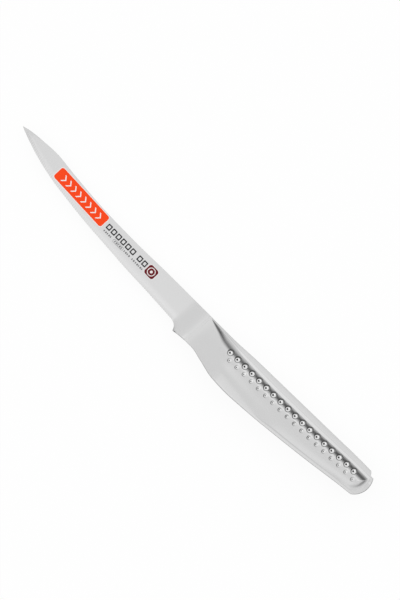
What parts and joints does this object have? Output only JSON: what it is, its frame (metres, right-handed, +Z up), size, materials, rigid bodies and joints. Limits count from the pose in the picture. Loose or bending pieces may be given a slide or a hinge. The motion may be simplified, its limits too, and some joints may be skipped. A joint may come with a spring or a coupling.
{
  "type": "serrated kitchen knife",
  "caption": "All-steel kitchen knife with a narrow, finely toothed pointed blade and a hollow dimpled handle, for slicing fruit, vegetables and bread rolls.",
  "frame": {"origin": "middle of the knife's length and width, on the surface that it lies on", "axes": "the knife lies on its side: +X from the tip to the butt, +Y towards the spine, with the cutting edge at -Y, +Z up to the labelled face"},
  "size_m": [0.29, 0.0318, 0.0145],
  "materials": {
    "blade_steel": "fine satin grinding, even and soft, with a brighter bevel",
    "handle_steel": "fine satin, dimples brighter",
    "weld_steel": "weld bead ground flush",
    "sand": "loose dry sand",
    "label_film": "thin printed film with a pale border"
  },
  "bodies": {
    "root": {"blade": "blade_steel", "handle_shell_front": "handle_steel", "handle_shell_back": "handle_steel", "neck_weld": "weld_steel", "seam_weld": "weld_steel", "balance_sand": "sand", "blade_label": "label_film"}
  },
  "joints": []
}
